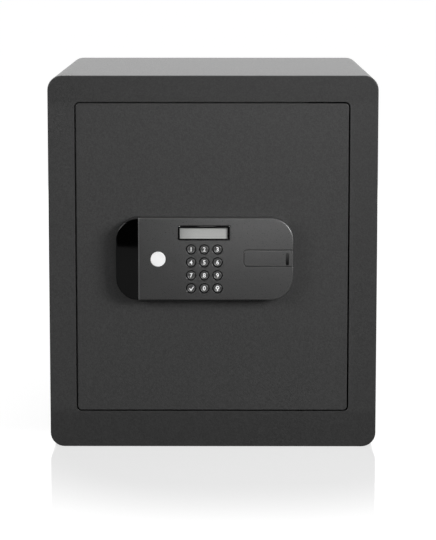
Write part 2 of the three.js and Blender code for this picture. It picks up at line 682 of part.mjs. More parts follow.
function drivePieces() {
  piece('pinion', union(
    prism('y', gearOutline(), CARRIER_Y0 - GEAR_FIT, ARM_Y1 + GEAR_FIT),
    rod('y', GEAR_X, GEAR_Z, GEAR_HUB_R, CARRIER_Y0, GEARBOX_Y0 - SHAFT_FIT),
    rod('y', GEAR_X, GEAR_Z, SHAFT_R, CARRIER_Y0, GEARBOX_Y0 + SHAFT_L),
  ), BRASS);

  const motorY = (GEARBOX_Y0 + GEARBOX_Y1) / 2;
  const x0 = GEAR_X - GEARBOX_W / 2;
  const x1 = GEAR_X + GEARBOX_W / 2;
  const motorTop = GEARBOX_Z1 + MOTOR_L;
  piece('gear_motor', cut(
    union(
      box(x0, x1, GEARBOX_Y0, GEARBOX_Y1, GEARBOX_Z0, GEARBOX_Z1),
      turned('z', GEAR_X, -motorY, [
        [GEARBOX_Z0 + GEAR_R, MOTOR_R], [motorTop, MOTOR_R],
        [motorTop, MOTOR_CAP_R], [motorTop + MOTOR_CAP_L, MOTOR_CAP_R],
      ]),
    ),
    rod('y', GEAR_X, GEAR_Z, SHAFT_R + SHAFT_FIT, GEARBOX_Y0 - PAST, GEARBOX_Y0 + SHAFT_L + SHAFT_FIT),
  ), STEEL);

  piece('motor_bracket', cut(
    union(
      box(x0, x1, DOOR_BACK, motorY + MOTOR_R + BRACKET_T, GEARBOX_Z1, GEARBOX_Z1 + BRACKET_T),
      box(x0, x1, DOOR_BACK, DOOR_BACK + BRACKET_T, GEARBOX_Z1, GEARBOX_Z1 + BRACKET_H),
    ),
    rod('z', GEAR_X, -motorY, MOTOR_R + SHAFT_FIT, GEARBOX_Z1 - PAST, GEARBOX_Z1 + BRACKET_T + PAST),
    ...[-BRACKET_HOLE_X, BRACKET_HOLE_X].map((dx) =>
      rod('y', GEAR_X + dx, GEARBOX_Z1 + BRACKET_HOLE_UP, BRACKET_HOLE_R,
        DOOR_BACK - PAST, DOOR_BACK + BRACKET_T + PAST, 12)),
  ), ZINC);
}

// Lock cylinder for the emergency key, with the lever on the end of its plug.
function overridePieces() {
  const tail = DOOR_BACK + LOCK_TAIL;
  piece('lock_body', cut(
    turned('y', LOCK_X, LOCK_Z, [
      [SLIDE_FLOOR, LOCK_R], [FRONT - LOCK_FLANGE_T, LOCK_R], [FRONT - LOCK_FLANGE_T, LOCK_FLANGE_R],
      [FRONT, LOCK_FLANGE_R], [FRONT, LOCK_R], [DOOR_BACK, LOCK_R], [DOOR_BACK, LOCK_FLANGE_R],
      [DOOR_BACK + LOCK_NUT_T, LOCK_FLANGE_R], [DOOR_BACK + LOCK_NUT_T, LOCK_R], [tail, LOCK_R],
    ]),
    rod('y', LOCK_X, LOCK_Z, PLUG_R + PLUG_FIT, SLIDE_FLOOR - PAST, tail + PAST),
  ), STEEL);

  const [dx, dz] = [-Math.sin(LEVER_REST), -Math.cos(LEVER_REST)];
  const [tipX, tipZ] = [LOCK_X + dx * LEVER_REACH, LOCK_Z + dz * LEVER_REACH];
  const half = LEVER_W / 2;
  const side = (x, z, s) => [x - s * dz * half, z + s * dx * half];
  const y0 = SLIDE_FLOOR + PLUG_SET;
  piece('lock_plug', cut(
    union(
      rod('y', LOCK_X, LOCK_Z, PLUG_R, y0, tail - PLUG_SET),
      rod('y', LOCK_X, LOCK_Z, SPINDLE_R, y0 + KEYWAY_D + PAST, LEVER_Y0 + LEVER_T),
      rod('y', LOCK_X, LOCK_Z, LEVER_HUB_R, LEVER_Y0, LEVER_Y0 + LEVER_T),
      rod('y', tipX, tipZ, half, LEVER_Y0, LEVER_Y0 + LEVER_T, 16),
      prism('y', [
        side(LOCK_X, LOCK_Z, -1), side(tipX, tipZ, -1), side(tipX, tipZ, 1), side(LOCK_X, LOCK_Z, 1),
      ], LEVER_Y0, LEVER_Y0 + LEVER_T),
    ),
    panel(around(LOCK_X, LOCK_Z, KEYWAY_W, KEYWAY_H), y0 - PAST, y0 + KEYWAY_D),
  ), BRASS);
}

function coverPieces() {
  const lipY0 = COVER_Y1 + LID_T + LID_FIT;
  const lipY1 = lipY0 + LID_RAIL_T;
  const end = LID.x1 + LID_FIT + LID_RAIL_W;
  const start = LID.x0 - LID_TRAVEL - LID_RAIL_W;
  const rail = (edge, out) => {
    const near = edge + out * LID_FIT;
    const far = near + out * LID_RAIL_W;
    const lip = edge - out * LID_RAIL_LIP;
    return union(
      box(start, end, HOUSING_Y1, lipY1, Math.min(near, far), Math.max(near, far)),
      box(start, end, lipY0, lipY1, Math.min(lip, far), Math.max(lip, far)),
    );
  };
  const outline = (d) => rectangle(inset(HOUSING, d), COVER_R - d, 4);
  piece('inner_cover', cut(
    union(
      loft('y', [[HOUSING_Y1, outline(0)], ...rim(COVER_Y1, -1, COVER_EDGE, outline, 1)]),
      rail(LID.z1, 1), rail(LID.z0, -1),
      box(LID.x1 + LID_FIT, end, HOUSING_Y1, lipY1, LID.z0 - LID_RAIL_W, LID.z1 + LID_RAIL_W),
    ),
    panel(BAY, HOUSING_Y1 - PAST, COVER_Y1 + PAST),
    rod('y', BUTTON_X, BUTTON_Z, BUTTON_R + BUTTON_FIT, HOUSING_Y1 - PAST, COVER_Y1 + PAST),
    ...screwHoles(HOUSING_Y1, COVER_Y1),
  ), BLACK_PLASTIC);

  screwSpots().forEach(([x, z], i) => piece(`cover_screw_${i + 1}`, turned('y', x, z, [
    [COVER_Y1 - SCREW_L, SCREW_R - SCREW_FIT], [COVER_Y1 - SCREW_L + 1, SCREW_R], [COVER_Y1, SCREW_R],
    [COVER_Y1, SCREW_HEAD_R], [COVER_Y1 + SCREW_HEAD_H * 0.6, SCREW_HEAD_R * 0.94],
    [COVER_Y1 + SCREW_HEAD_H, SCREW_HEAD_R * 0.6],
  ], 12), STEEL));

  piece('setting_button', turned('y', BUTTON_X, BUTTON_Z, [
    [HOUSING_Y1 - BUTTON_FLANGE_T, BUTTON_FLANGE_R], [HOUSING_Y1, BUTTON_FLANGE_R], [HOUSING_Y1, BUTTON_R],
    [COVER_Y1 + BUTTON_PROUD * 0.75, BUTTON_R], [COVER_Y1 + BUTTON_PROUD, BUTTON_R * 0.88],
  ]), RED_PLASTIC);
}

function batteryPieces() {
  piece('battery_tray', cut(
    union(
      panel(inset(BAY, -BAY_WALL), BAY_Y0 - BAY_WALL, HOUSING_Y1),
      panel(inset(BAY, -BAY_WALL - BAY_FLANGE), HOUSING_Y1 - BAY_FLANGE_T, HOUSING_Y1),
    ),
    panel(BAY, BAY_Y0, HOUSING_Y1 + PAST),
  ), BLACK_PLASTIC);

  const half = CELL_L / 2;
  const cell = [
    ...rim(-half, 1, CELL_EDGE, (e) => CELL_R - e, 1),
    ...rim(half - CELL_CAP_L, -1, CELL_EDGE, (e) => CELL_R - e, 1),
    [half - CELL_CAP_L, CELL_CAP_R], [half, CELL_CAP_R],
  ];
  for (let i = 0; i < CELLS; i++) {
    const profile = i % 2 ? cell : cell.map(([w, r]) => [-w, r]).toReversed();
    const z = BAY.z0 + (i + 0.5) * (2 * CELL_R + CELL_GAP);
    piece(`cell_${i + 1}`, turned('x', -(BAY_Y0 + CELL_R + CELL_FIT), z,
      profile.map(([w, r]) => [BAY_X + w, r]), 16), CELL_SKIN);
  }

  const lidTop = COVER_Y1 + LID_T;
  const lidZ = (LID.z0 + LID.z1) / 2;
  const grooves = Array.from({ length: LID_GRIPS }, (_, i) =>
    panel(around(LID.x0 + LID_LAP + 2 * (i + 1) * LID_GRIP_W, lidZ, LID_GRIP_W, LID_GRIP_H),
      lidTop - LID_GRIP_DEPTH, lidTop + PAST));
  piece('battery_cover', cut(panel(LID, COVER_Y1, lidTop), ...grooves), BLACK_PLASTIC);
}

function shelfPieces() {
  const half = WALL_IN - SHELF_SIDE_GAP;
  const y0 = FRONT + SHELF_FRONT_IN;
  const y1 = BACK_IN - SHELF_BACK_GAP;
  const top = SHELF_Z + SHELF_T;
  piece('shelf', union(
    box(-half, half, y0, y1, SHELF_Z, top),
    box(-half, half, y0, y0 + SHELF_T, top - SHELF_LIP, top),
    box(-half, half, y1 - SHELF_T, y1, top - SHELF_LIP, top),
  ), PAINT);

  for (const [side, s] of [['left', -1], ['right', 1]]) {
    const span = (a, b) => [Math.min(s * a, s * b), Math.max(s * a, s * b)];
    piece(`shelf_rail_${side}`, union(
      box(...span(WALL_IN - RAIL_W, WALL_IN), y0 + RAIL_IN, y1 - RAIL_IN, SHELF_Z - RAIL_T, SHELF_Z),
      box(...span(WALL_IN - RAIL_T, WALL_IN), y0 + RAIL_IN, y1 - RAIL_IN, SHELF_Z - RAIL_H, SHELF_Z),
    ), ZINC);
  }
}

// The whole front body of the keypad unit before it is divided.
function unitEnvelope() {
  const outline = (d) => rectangle(inset(UNIT, d), UNIT_R - d, 9);
  return loft('y', [...rim(UNIT_FRONT, 1, UNIT_EDGE, outline, 3), [FRONT, outline(0)]]);
}

const keySpots = () => KEY_NAMES.flatMap((row, r) => row.map((name, c) =>
  [name, KEYS_X + (c - 1) * KEY_PITCH_X, KEYS_Z + (1.5 - r) * KEY_PITCH_Z]));

// Outline of the key cover's track, wider by grow all round and open to the right.
function slideOutline(grow) {
  return rectangle({
    x0: UNIT.x1 - SLIDE_L - grow, x1: UNIT.x1 + SLIDE_L,
    z0: SLIDE_Z - SLIDE_H / 2 - grow, z1: SLIDE_Z + SLIDE_H / 2 + grow,
  }, SLIDE_R + grow, 4);
}

function unitPieces() {
  const envelope = unitEnvelope();
  const slab = (x0, x1) => box(x0, x1, UNIT_FRONT - PAST, FRONT, UNIT.z0 - PAST, UNIT.z1 + PAST);
  const stripX0 = UNIT.x0 + END_W;
  const stripX1 = stripX0 + STRIP_W;
  piece('end_panel', envelope.intersect(slab(UNIT.x0 - PAST, stripX0)), GLOSS_BLACK);
  piece('trim_strip', envelope.intersect(slab(stripX0, stripX1)), SILVER);

  const wellR = KEY_R + KEY_FLANGE + KEY_FLANGE_FIT;
  const tongueY0 = SLIDE_FLOOR - TONGUE_T;
  const display = around(KEYS_X + DISPLAY_RIGHT, UNIT_Z + DISPLAY_UP, DISPLAY_W, DISPLAY_H);
  const badgeX = UNIT_X - BADGE_LEFT;
  const badgeFloor = UNIT_FRONT + BADGE_DEPTH;
  const cavity = inset(around(KEYS_X, KEYS_Z, 2 * KEY_PITCH_X, 3 * KEY_PITCH_Z), -(wellR + CAVITY_MARGIN));
  piece('keypad_housing', cut(
    envelope.intersect(slab(stripX1, UNIT.x1 + PAST)),
    panel(cavity, CAVITY_Y0, FRONT + PAST),
    ...keySpots().flatMap(([, x, z]) => [
      rod('y', x, z, KEY_R + KEY_GAP, UNIT_FRONT - PAST, KEY_SHOULDER + PAST, 16),
      rod('y', x, z, wellR, KEY_SHOULDER, CAVITY_Y0 + PAST, 16),
    ]),
    panel(display, UNIT_FRONT - PAST, UNIT_FRONT + DISPLAY_DEPTH, DISPLAY_R, 3),
    rod('y', badgeX, UNIT_Z, BADGE_R + BADGE_FIT, UNIT_FRONT - PAST, badgeFloor),
    prism('y', slideOutline(0), UNIT_FRONT - PAST, SLIDE_FLOOR),
    prism('y', slideOutline(TONGUE_W), tongueY0 - TONGUE_FIT, SLIDE_FLOOR),
    turned('y', LOCK_X, LOCK_Z, [
      [SLIDE_FLOOR - PAST, LOCK_R + LOCK_FIT], [FRONT - LOCK_FLANGE_T - LOCK_FIT, LOCK_R + LOCK_FIT],
      [FRONT - LOCK_FLANGE_T - LOCK_FIT, LOCK_FLANGE_R + LOCK_FIT], [FRONT + PAST, LOCK_FLANGE_R + LOCK_FIT],
    ]),
  ), KEYPAD_PLASTIC);

  piece('key_cover', cut(
    union(
      loft('y', [
        ...rim(UNIT_FRONT, 1, SLIDE_EDGE, (d) => slideOutline(-SLIDE_FIT - d), 1),
        [SLIDE_FLOOR, slideOutline(-SLIDE_FIT)],
      ]),
      prism('y', slideOutline(TONGUE_W - TONGUE_FIT), tongueY0, SLIDE_FLOOR),
    ).intersect(envelope),
    panel(around(UNIT.x1 - GRIP_IN - GRIP_W / 2, SLIDE_Z - GRIP_DOWN, GRIP_W, GRIP_H),
      UNIT_FRONT - PAST, UNIT_FRONT + GRIP_DEPTH, GRIP_W / 3, 3),
  ), KEYPAD_PLASTIC);

  piece('badge_disc', turned('y', badgeX, UNIT_Z, [
    [UNIT_FRONT - BADGE_PROUD, BADGE_R - BADGE_PROUD], [UNIT_FRONT, BADGE_R], [badgeFloor, BADGE_R],
  ]), WHITE);

  const displayFloor = UNIT_FRONT + DISPLAY_DEPTH;
  const window = {
    x0: display.x0 + DISPLAY_RIM.left, x1: display.x1 - DISPLAY_RIM.right,
    z0: display.z0 + DISPLAY_RIM.below, z1: display.z1 - DISPLAY_RIM.above,
  };
  piece('display_bezel', cut(
    panel(inset(display, DISPLAY_FIT), UNIT_FRONT, displayFloor, DISPLAY_R, 3),
    panel(window, UNIT_FRONT - PAST, displayFloor + PAST),
  ), BLACK_PLASTIC);
  piece('display_window', panel(window, UNIT_FRONT + WINDOW_SET, displayFloor), LCD_GLASS);

  for (const [name, x, z] of keySpots()) {
    const face = UNIT_FRONT - KEY_PROUD;
    piece(name, turned('y', x, z, [
      [face + KEY_DISH, KEY_R - KEY_RIM - KEY_DISH], ...rim(face, 1, KEY_EDGE, (d) => KEY_R - d, 1),
      [KEY_SHOULDER, KEY_R], [KEY_SHOULDER, KEY_R + KEY_FLANGE],
      [KEY_SHOULDER + KEY_FLANGE_T, KEY_R + KEY_FLANGE],
    ], 18), KEY_PLASTIC);
  }

  const sheet = inset(cavity, MAT_FIT);
  const matY1 = CAVITY_Y0 + KEY_MAT_T;
  piece('keypad_mat', union(
    panel(sheet, CAVITY_Y0, matY1),
    ...keySpots().map(([, x, z]) => rod('y', x, z, NUB_R, CAVITY_Y0 - NUB_H, CAVITY_Y0 + NUB_ROOT, 8)),
  ), RUBBER);
  piece('keypad_board', panel(sheet, matY1, matY1 + BOARD_T), BOARD);
}

bodyPieces();
jambPieces();
hingePieces();
doorPieces();
boltPieces();
drivePieces();
overridePieces();
coverPieces();
batteryPieces();
shelfPieces();
unitPieces();

export default assembly;
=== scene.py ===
"""Finishes, camera and light for the office safe. Metres, +Z up, the front faces -Y."""
import json
import math

import bmesh
import bpy
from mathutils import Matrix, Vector


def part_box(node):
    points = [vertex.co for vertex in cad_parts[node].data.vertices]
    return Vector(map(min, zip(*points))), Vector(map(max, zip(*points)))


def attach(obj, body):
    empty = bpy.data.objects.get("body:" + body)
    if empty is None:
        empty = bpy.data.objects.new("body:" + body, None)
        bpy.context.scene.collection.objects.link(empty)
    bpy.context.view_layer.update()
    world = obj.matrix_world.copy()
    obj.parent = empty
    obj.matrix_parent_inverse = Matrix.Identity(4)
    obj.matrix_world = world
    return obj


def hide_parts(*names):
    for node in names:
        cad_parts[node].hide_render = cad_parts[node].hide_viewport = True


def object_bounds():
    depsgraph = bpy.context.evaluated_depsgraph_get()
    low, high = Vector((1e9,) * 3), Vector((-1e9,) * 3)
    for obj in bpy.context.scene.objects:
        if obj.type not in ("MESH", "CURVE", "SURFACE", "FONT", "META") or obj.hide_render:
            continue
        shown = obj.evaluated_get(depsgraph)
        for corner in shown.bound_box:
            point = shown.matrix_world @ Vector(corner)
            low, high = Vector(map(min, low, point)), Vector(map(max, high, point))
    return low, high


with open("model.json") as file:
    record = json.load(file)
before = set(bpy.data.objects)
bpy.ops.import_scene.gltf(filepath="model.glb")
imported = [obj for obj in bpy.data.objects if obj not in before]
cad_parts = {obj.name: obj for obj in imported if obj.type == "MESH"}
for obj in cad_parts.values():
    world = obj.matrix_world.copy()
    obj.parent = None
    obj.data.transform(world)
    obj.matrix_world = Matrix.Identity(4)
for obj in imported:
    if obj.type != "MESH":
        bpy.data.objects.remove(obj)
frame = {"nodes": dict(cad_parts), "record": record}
cad_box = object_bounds()

MM = 0.001
NODES = frame["nodes"]
RECORD = frame["record"]
BODY_OF = {node: body for body, nodes in RECORD["behaviour"]["bodies"].items() for node in nodes}
SLOT_OF = {part["node"]: part["material_slot"] for part in RECORD["subparts"]}
KEYS = [name for name in NODES if name.startswith("key_") and name != "key_cover"]

# Places that the finishes and forms follow, from the frame
FRONT_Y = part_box("front_frame")[0].y
BACK_Y = cad_box[1].y
DOOR_LOW, DOOR_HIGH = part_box("door_plate")
COVER_LOW, COVER_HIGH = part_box("key_cover")

# Camera: a long lens in front of the safe and a little above it
CAMERA_PLACE = (0.0130, -2.3000, 0.5382)
CAMERA_PITCH = math.radians(6.922)
CAMERA_YAW = math.radians(0.206)
CAMERA_LENS = 134.72
CAMERA_SHIFT = -0.15

# Lamps: name, place, aim, width, height, power in watts
LAMPS = (
    ("softbox_right", (1.55, -1.70, 1.00), (0.0, -0.17, 0.2), 1.05, 0.8, 47.0),
    ("softbox_left", (-1.3, -1.4, 0.85), (0.0, -0.1, 0.2), 0.8, 0.6, 12.3),
    ("front_strip", (0.45, -1.75, 0.78), (0.05, -0.17, 0.25), 1.1, 0.3, 3.5),
    ("softbox_low", (0.10, -2.5, 0.25), (0.02, -0.17, 0.23), 0.6, 0.3, 1.1),
    ("softbox_back", (0.0, 1.7, 0.75), (0.0, 0.0, 0.4), 1.6, 0.6, 0.86),
    ("softbox_rear", (0.0, 2.2, 0.12), (0.0, 0.17, 0.2), 0.3, 0.15, 24.0),
)

# World: its light on matt surfaces; its dark front as mirrors see it, and where it turns white
# along Y, behind the safe, and along Z, above it
AMBIENT = 0.12
ROOM_DARK = 0.01
ROOM_BEHIND = (-0.2, 0.15)
ROOM_ABOVE = (0.35, 0.9)

# Floor: half its side, how far it reaches to the front, and how far it lies under the safe
FLOOR_HALF = 40.0
FLOOR_FRONT = 1.65
FLOOR_SINK = 0.2 * MM
# Near the safe: tone, roughness and own glow, and the oval in which it mirrors: its core along X, and
# how far off the core it mirrors fully and no more
FLOOR_WHITE = 0.35
FLOOR_ROUGH = 0.04
FLOOR_GLOW = 0.612
MIRROR_CORE = (0.005, 0.055)
MIRROR_FULL = 0.15
MIRROR_END = 0.37
# Further off: own glow and tone; then its tone for matt surfaces and its tone in mirrors
FLOOR_FAR = 0.985
FLOOR_SHADE = 0.15
FLOOR_BOUNCE = 0.1
FLOOR_MIRRORED = 0.23


# Node helpers


def feed(tree, node, inputs):
    """Sets a node's inputs, each by a value or by another node's output."""
    for name, value in inputs.items():
        if isinstance(value, bpy.types.NodeSocket):
            tree.links.new(value, node.inputs[name])
        else:
            node.inputs[name].default_value = value


def add(tree, kind, inputs=None, **settings):
    """Adds a shader node with its settings and inputs."""
    node = tree.nodes.new("ShaderNode" + kind)
    for name, value in settings.items():
        setattr(node, name, value)
    feed(tree, node, inputs or {})
    return node


def calc(tree, operation, *values):
    """One step of arithmetic with values or other nodes' outputs."""
    return add(tree, "Math", dict(enumerate(values)), operation=operation).outputs[0]


def mapped(tree, value, start, end, low=0.0, high=1.0, smooth=False):
    """Turns the stretch from start to end into low to high, and stays level beyond it."""
    return add(tree, "MapRange", {
        "Value": value, "From Min": start, "From Max": end, "To Min": low, "To Max": high,
    }, interpolation_type="SMOOTHSTEP" if smooth else "LINEAR").outputs["Result"]


def ramp(tree, value, stops):
    """Colours along a value from 0 to 1, given as pairs of place and colour."""
    bands = add(tree, "ValToRGB", {"Fac": value})
    elements = bands.color_ramp.elements
    while len(elements) < len(stops):
        elements.new(0.5)
    for element, (where, colour) in zip(elements, stops):
        element.position = where
        element.color = colour
    return bands.outputs["Color"]


# The sockets of a Mix node that carry colours
MIX_FIRST = 6
MIX_SECOND = 7
MIX_RESULT = 2


def between(tree, factor, first, second):
    """Blends two colours, each a value or another node's output."""
    inputs = {"Factor": factor, MIX_FIRST: first, MIX_SECOND: second}
    return add(tree, "Mix", inputs, data_type="RGBA").outputs[MIX_RESULT]


def mixed(tree, factor, first, second):
    """Blends two shaders."""
    return add(tree, "MixShader", {0: factor, 1: first, 2: second}).outputs[0]


def separated(tree, place):
    """A place's X, Y and Z."""
    return add(tree, "SeparateXYZ", {"Vector": place}).outputs


def noise(tree, place, size, detail=2.0, rough=0.5):
    """Cloudy variation whose blobs are about size metres wide."""
    return add(tree, "TexNoise", {
        "Vector": place, "Scale": 1.0 / size, "Detail": detail, "Roughness": rough,
    }).outputs["Fac"]


# The part of a noise's values that carries nearly all of it
NOISE_MIDDLE = (0.3, 0.7)


def spread(tree, pattern, low, high):
    """Maps the middle of a noise to the range from low to high."""
    return mapped(tree, pattern, *NOISE_MIDDLE, low, high)


def grey(value):
    return (value, value, value, 1.0)


def scaled(colour, factor):
    return tuple(channel * factor for channel in colour[:3]) + (1.0,)


def speckled(tree, pattern, colour, tones):
    """The colour times the first to the second tone, as a noise goes from low to high."""
    dark, light = tones
    return between(tree, spread(tree, pattern, 0.0, 1.0), scaled(colour, dark), scaled(colour, light))


def clouded(tree, pattern, share, base, colour):
    """The base with up to a share of the colour where a noise is high."""
    return between(tree, spread(tree, pattern, 0.0, share), base, colour)


def bumped(tree, shader, height, depth, normal=None):
    """Gives the shader a relief of some depth, on top of another normal if there is one."""
    bump = add(tree, "Bump", {"Height": height, "Distance": depth, "Strength": 1.0})
    if normal is not None:
        feed(tree, bump, {"Normal": normal})
    feed(tree, shader, {"Normal": bump.outputs["Normal"]})
    return bump.outputs["Normal"]


def new_material(name):
    """A material with its node tree, its main shader and the position on the piece."""
    material = bpy.data.materials.new(name)
    material.use_nodes = True
    tree = material.node_tree
    tree.nodes.clear()
    shader = add(tree, "BsdfPrincipled")
    add(tree, "OutputMaterial", {"Surface": shader.outputs["BSDF"]})
    place = add(tree, "TexCoord").outputs["Object"]
    return material, tree, shader, place


# Coats and mouldings

# Slow clouds of tone: size, greatest share and how light; then the spread of roughness, and swells
CLOUD_SIZE = 80 * MM
CLOUD_SHARE = 0.05
CLOUD_LIGHT = 1.35
ROUGH_LESS = 0.04
ROUGH_MORE = 0.06
SWELL_SIZE = 4 * MM


def crowned(tree, place, centre, radii):
    """Normal of a face that is slightly domed, with its top at centre (x, z) and a radius along each."""
    axes = separated(tree, place)
    drops = []
    for axis, middle, radius in zip("XZ", centre, radii):
        away = calc(tree, "SUBTRACT", axes[axis], middle)
        drops.append(calc(tree, "MULTIPLY", calc(tree, "MULTIPLY", away, away), -0.5 / radius))
    dome = calc(tree, "ADD", *drops)
    return add(tree, "Bump", {"Height": dome, "Distance": 1.0, "Strength": 1.0}).outputs["Normal"]


def textured(
    name, colour, roughness, grain, depth, specular=0.5, metallic=0.0, vary=0.06, crown=None, tone=None,
    coat=0.0, swell=0.0,
):
    """A coated or moulded surface: fine grain, faint speckle and slow changes of tone, with painted shade
    where a tone is given.

    The grain's size and depth and the depth of its swells are in millimetres.
    """
    material, tree, shader, place = new_material(name)
    fine = noise(tree, place, grain * MM, detail=3.0, rough=0.6)
    slow = noise(tree, place, CLOUD_SIZE)
    speckles = speckled(tree, fine, colour, (1 - vary, 1 + vary))
    toned = clouded(tree, slow, CLOUD_SHARE, speckles, scaled(colour, CLOUD_LIGHT))
    if tone:
        toned = tone(tree, place, toned)
    feed(tree, shader, {
        "Base Color": toned,
        "Roughness": spread(tree, fine, roughness - ROUGH_LESS, roughness + ROUGH_MORE),
        "Metallic": metallic,
        "Specular IOR Level": specular,
        "Coat Weight": coat,
        "Coat Roughness": roughness,
    })
    normal = crowned(tree, place, *crown) if crown else None
    if swell:
        normal = bumped(tree, shader, noise(tree, place, SWELL_SIZE), swell * MM, normal)
    normal = bumped(tree, shader, fine, depth * MM, normal)
    feed(tree, shader, {"Coat Normal": normal})
    return material


# Painted shade on the frame's rails, where they turn darker: axis, where it begins and ends, and how much
RAIL_PAINTED_SHADE = (
    ("Z", DOOR_LOW.z + 5.8 * MM, DOOR_LOW.z - 6.2 * MM, 0.22),
    ("Z", DOOR_HIGH.z - 8.7 * MM, DOOR_HIGH.z + 5.3 * MM, 0.18),
    ("X", DOOR_HIGH.x + 2.2 * MM, DOOR_HIGH.x + 8.2 * MM, 0.09),
)


def rail_painted_shade(tree, place, colour):
    """Painted shade: the frame's coat is made a little darker on its upper and right rails, and most on its
    lower one.
    """
    axes = separated(tree, place)
    lower, upper, right = [
        mapped(tree, axes[axis], start, end, 0.0, dark, smooth=True)
        for axis, start, end, dark in RAIL_PAINTED_SHADE
    ]
    share = calc(tree, "MAXIMUM", calc(tree, "MAXIMUM", lower, upper), right)
    return between(tree, share, colour, grey(0.0))


# The safe's coat: roughness, its grain's size and depth in millimetres, reflection, and speckle
COAT_ROUGH = 0.33
COAT_GRAIN = 1.4
COAT_DEPTH = 0.09
COAT_SPECULAR = 0.36
COAT_VARY = 0.24


def powder_coat(name, level, tone=None):
    """The safe's dark coat, with visible speckle."""
    return textured(
        name, grey(level), COAT_ROUGH, COAT_GRAIN, COAT_DEPTH, specular=COAT_SPECULAR, vary=COAT_VARY,
        tone=tone,
    )


# The cover's finger slot, from its lower end to its upper one, across which its painted shade deepens
SLOT_Z = (COVER_LOW.z + 4.15 * MM, COVER_HIGH.z - 2.45 * MM)


def slot_painted_shade(tree, place, colour):
    """Painted shade: the finger slot's colour gets darker towards its lower end."""
    lower, upper = SLOT_Z
    return between(tree, mapped(tree, separated(tree, place)["Z"], upper, lower), colour, grey(0.0))


# Polished mouldings: the swirl's size, its tones and shares of roughness, and the depth of the waves
SWIRL_SIZE = 20 * MM
SWIRL_TONES = (0.9, 1.1)
SWIRL_ROUGH = (0.7, 1.3)
WAVE_DEPTH = 0.01 * MM


def gloss(name, colour, roughness, specular=0.5):
    """Polished moulding: a faint swirl in its gloss and a very slow waviness."""
    material, tree, shader, place = new_material(name)
    slow = noise(tree, place, SWIRL_SIZE)
    dark, light = SWIRL_TONES
    feed(tree, shader, {
        "Base Color": between(tree, slow, scaled(colour, dark), scaled(colour, light)),
        "Roughness": spread(tree, slow, *(roughness * share for share in SWIRL_ROUGH)),
        "Specular IOR Level": specular,
    })
    bumped(tree, shader, slow, WAVE_DEPTH)
    return material


# Metals

# Marks: size and stretch of ground ones, size of a zinc plate's even ones, tones, roughness and depth
GROUND_MARK = 0.4 * MM
GROUND_STRETCH = (1.0, 0.04, 1.0)
ZINC_MARK = 4 * MM
MARK_TONES = (0.86, 1.08)
MARK_SMOOTHER = 0.06
MARK_ROUGHER = 0.1
MARK_DEPTH = 0.01 * MM
# Stains: size, greatest share and tone
STAIN_SIZE = 30 * MM
STAIN_SHARE = 0.25
STAIN_TONE = 0.8


def metal(name, colour, roughness, mark, stretch):
    """Bare metal with marks of some size and stretch, and faint stains."""
    material, tree, shader, place = new_material(name)
    along = add(tree, "Mapping", {"Vector": place, "Scale": stretch}).outputs["Vector"]
    marks = noise(tree, along, mark, detail=4.0, rough=0.7)
    stain = noise(tree, place, STAIN_SIZE, detail=3.0)
    base = speckled(tree, marks, colour, MARK_TONES)
    feed(tree, shader, {
        "Base Color": clouded(tree, stain, STAIN_SHARE, base, scaled(colour, STAIN_TONE)),
        "Roughness": spread(tree, marks, roughness - MARK_SMOOTHER, roughness + MARK_ROUGHER),
        "Metallic": 1.0,
    })
    bumped(tree, shader, marks, MARK_DEPTH)
    return material


def brushed(name, colour, roughness):
    """Metal with fine straight marks from grinding or rolling."""
    return metal(name, colour, roughness, GROUND_MARK, GROUND_STRETCH)


def plated(name, colour, roughness):
    """Zinc plate with even blotches."""
    return metal(name, colour, roughness, ZINC_MARK, (1.0, 1.0, 1.0))


# Felt, display and battery cells

# Felt: size, tones and depth of its fibres, size, greatest share and tone of its tufts, and sheen
FIBRE_SIZE = 0.9 * MM
FIBRE_TONES = (0.6, 1.5)
FIBRE_DEPTH = 0.4 * MM
TUFT_SIZE = 6 * MM
TUFT_SHARE = 0.3
TUFT_TONE = 0.7
FELT_ROUGH = 0.95
FELT_SHEEN = 0.3


def felt(name, colour):
    """Needle felt: coarse fibres and darker tufts."""
    material, tree, shader, place = new_material(name)
    fibres = noise(tree, place, FIBRE_SIZE, detail=6.0, rough=0.8)
    tufts = noise(tree, place, TUFT_SIZE, detail=3.0)
    base = speckled(tree, fibres, colour, FIBRE_TONES)
    feed(tree, shader, {
        "Base Color": clouded(tree, tufts, TUFT_SHARE, base, scaled(colour, TUFT_TONE)),
        "Roughness": FELT_ROUGH,
        "Sheen Weight": FELT_SHEEN,
    })
    bumped(tree, shader, fibres, FIBRE_DEPTH)
    return material


# Display pane: tones from its lower edge (0) to its upper one (1), which hold a painted highlight low down,
# a faint line and painted shadow at the top; the painted shade at its left end; the size and roughness of
# its dots
PANE_LINE_AND_PAINTED_LIGHT = ((0.0, 1.04), (0.17, 1.04), (0.20, 0.86), (0.23, 1.0), (0.75, 0.97), (1.0, 0.85))
PANE_SHADE = 0.22
PANE_SHADE_WIDTH = 18 * MM
PANE_DOTS = 0.6 * MM
PANE_ROUGH = (0.22, 0.3)


def liquid_crystal(name, colour):
    """The display's grey pane: painted shadow at its top, painted shade at its left end, a painted
    highlight along its lower edge and a faint line above it.
    """
    material, tree, shader, place = new_material(name)
    low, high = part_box("display_window")
    axes = separated(tree, place)
    height = mapped(tree, axes["Z"], low.z, high.z)
    bands = ramp(tree, height, [(where, scaled(colour, tone)) for where, tone in PANE_LINE_AND_PAINTED_LIGHT])
    left = mapped(tree, axes["X"], low.x, low.x + PANE_SHADE_WIDTH, PANE_SHADE, 0.0, smooth=True)
    feed(tree, shader, {
        "Base Color": between(tree, left, bands, grey(0.0)),
        "Roughness": spread(tree, noise(tree, place, PANE_DOTS), *PANE_ROUGH),
    })
    return material


